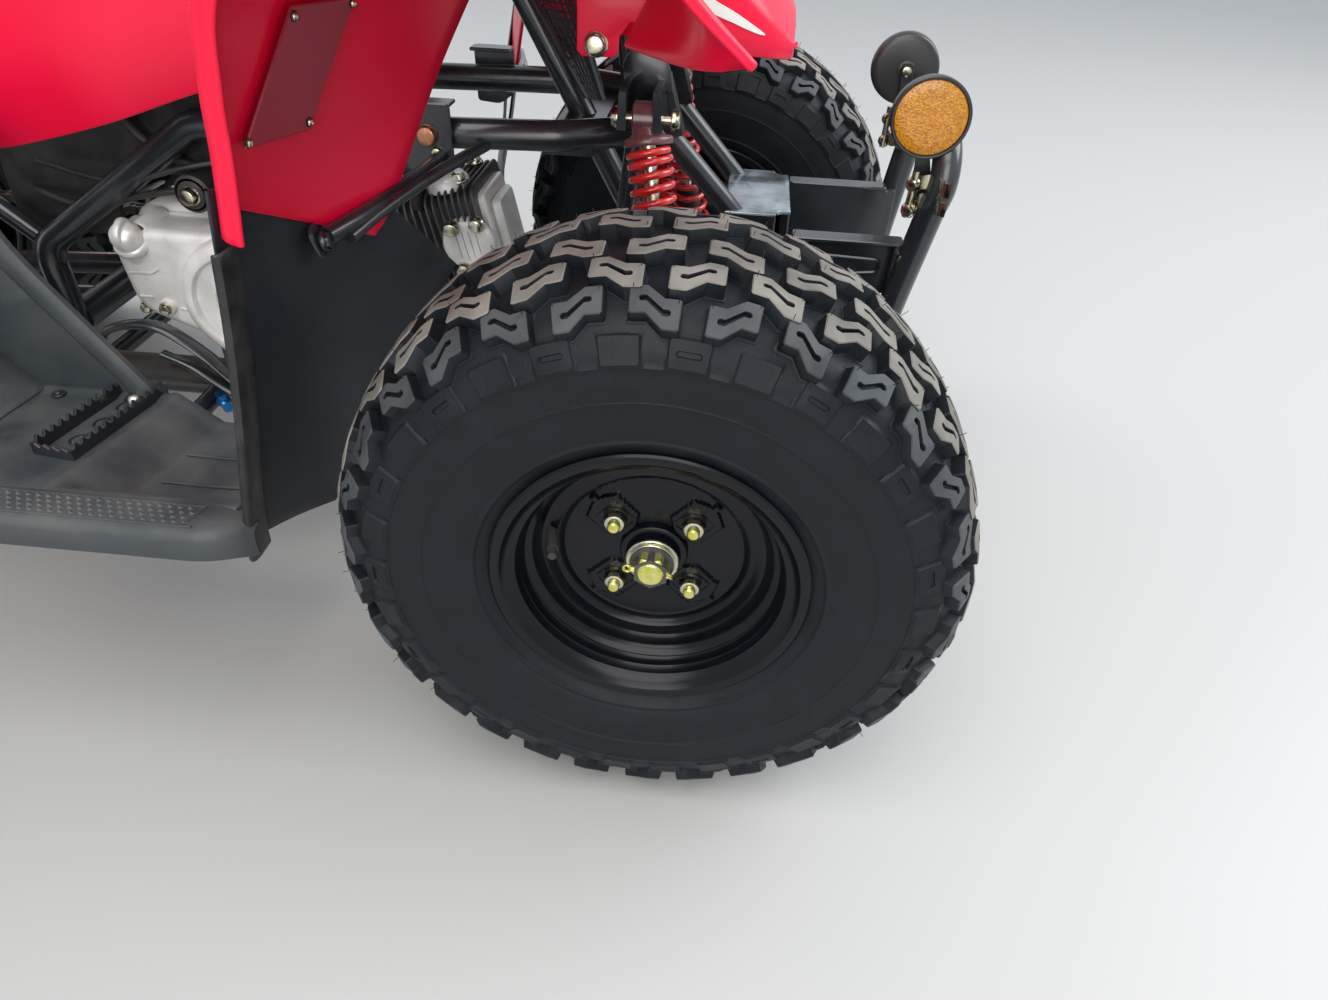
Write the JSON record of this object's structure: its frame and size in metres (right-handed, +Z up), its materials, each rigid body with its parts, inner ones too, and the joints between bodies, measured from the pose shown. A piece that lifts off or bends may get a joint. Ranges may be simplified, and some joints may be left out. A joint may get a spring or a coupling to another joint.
{
  "type": "quad bike",
  "caption": "Sport quad bike with knobbly tyres, red plastic wings, a tubular steel frame and handlebar steering.",
  "frame": {"origin": "on the ground, half way between the axles, in the middle of the width", "axes": "+X forward, +Y to the rider's left, +Z up"},
  "size_m": [1.533, 0.878, 0.9552],
  "materials": {
    "tyre_rubber": "dusty matt",
    "rim_black": "gloss",
    "frame_black": "gloss",
    "zinc": "zinc plated",
    "red_plastic": "gloss",
    "dark_plastic": "matt",
    "seat_vinyl": "grained",
    "cast_alloy": "cast",
    "exhaust_black": "satin",
    "spring_red": "gloss",
    "steel": "machined",
    "amber_lens": "gloss",
    "red_lens": "gloss",
    "clear_lens": "clear",
    "grip_rubber": "matt"
  },
  "bodies": {
    "chassis": {"bumper": "frame_black", "centre_cover": "red_plastic", "chain": "steel", "crossbars": "frame_black", "dampers": "frame_black", "engine_case": "cast_alloy", "engine_cylinder": "cast_alloy", "exhaust": "exhaust_black", "fender_stays": "frame_black", "foot_pegs": "steel", "footwells": "dark_plastic", "front_arms": "frame_black", "front_fenders": "red_plastic", "front_posts": "frame_black", "grab_bar": "frame_black", "headlamps": "clear_lens", "lower_rails": "frame_black", "mud_flaps": "dark_plastic", "nose_cowl": "red_plastic", "rear_fenders": "red_plastic", "reflector_housings": "dark_plastic", "reflector_lenses": "amber_lens", "saddle_plate": "frame_black", "seat": "seat_vinyl", "seat_rails": "frame_black", "springs": "spring_red", "swingarm": "frame_black", "tail_cover": "red_plastic", "tail_lamp": "red_lens", "upper_rails": "frame_black"},
    "steering": {"steering_column": "frame_black", "handlebar": "frame_black", "grips": "grip_rubber", "brake_levers": "cast_alloy", "instrument_pod": "dark_plastic"},
    "right_knuckle": {"knuckle_right": "frame_black"},
    "left_knuckle": {"knuckle_left": "frame_black"},
    "right_tie_rod": {"tie_rod_right": "zinc"},
    "left_tie_rod": {"tie_rod_left": "zinc"},
    "right_front_wheel": {"front_tyre_right": "tyre_rubber", "front_rim_right": "rim_black", "front_hub_right": "steel"},
    "left_front_wheel": {"front_tyre_left": "tyre_rubber", "front_rim_left": "rim_black", "front_hub_left": "steel"},
    "rear_wheels": {"rear_axle": "steel", "rear_carriers": "steel", "rear_tyres": "tyre_rubber", "rear_rims": "rim_black"}
  },
  "joints": [
    {"name": "steering_turn", "type": "hinge", "parent": "chassis", "child": "steering", "pos_m": [0.525, 0, 0.2475], "axis": [-0.4695, 0, 0.8829], "range_deg": [-24, 24]},
    {"name": "right_kingpin", "type": "hinge", "parent": "chassis", "child": "right_knuckle", "pos_m": [0.525, -0.25, 0.2415], "axis": [0, 0, 1], "range_deg": [-24, 24]},
    {"name": "left_kingpin", "type": "hinge", "parent": "chassis", "child": "left_knuckle", "pos_m": [0.525, 0.25, 0.2415], "axis": [0, 0, 1], "range_deg": [-24, 24]},
    {"name": "right_rod_pivot", "type": "hinge", "parent": "steering", "child": "right_tie_rod", "pos_m": [0.47204, -0.014, 0.23633], "axis": [-0.4695, 0, 0.8829], "range_deg": [-24, 24]},
    {"name": "left_rod_pivot", "type": "hinge", "parent": "steering", "child": "left_tie_rod", "pos_m": [0.47204, 0.014, 0.23633], "axis": [-0.4695, 0, 0.8829], "range_deg": [-24, 24]},
    {"name": "right_front_spin", "type": "hinge", "parent": "right_knuckle", "child": "right_front_wheel", "pos_m": [0.525, -0.345, 0.2415], "axis": [0, 1, 0], "continuous": true},
    {"name": "left_front_spin", "type": "hinge", "parent": "left_knuckle", "child": "left_front_wheel", "pos_m": [0.525, 0.345, 0.2415], "axis": [0, 1, 0], "continuous": true},
    {"name": "rear_axle_spin", "type": "hinge", "parent": "chassis", "child": "rear_wheels", "pos_m": [-0.525, 0, 0.2285], "axis": [0, 1, 0], "continuous": true}
  ],
  "couplings": [
    {"joint": "right_kingpin", "follows": "steering_turn", "ratio": 1},
    {"joint": "left_kingpin", "follows": "steering_turn", "ratio": 1},
    {"joint": "right_rod_pivot", "follows": "steering_turn", "ratio": -1},
    {"joint": "left_rod_pivot", "follows": "steering_turn", "ratio": -1}
  ]
}
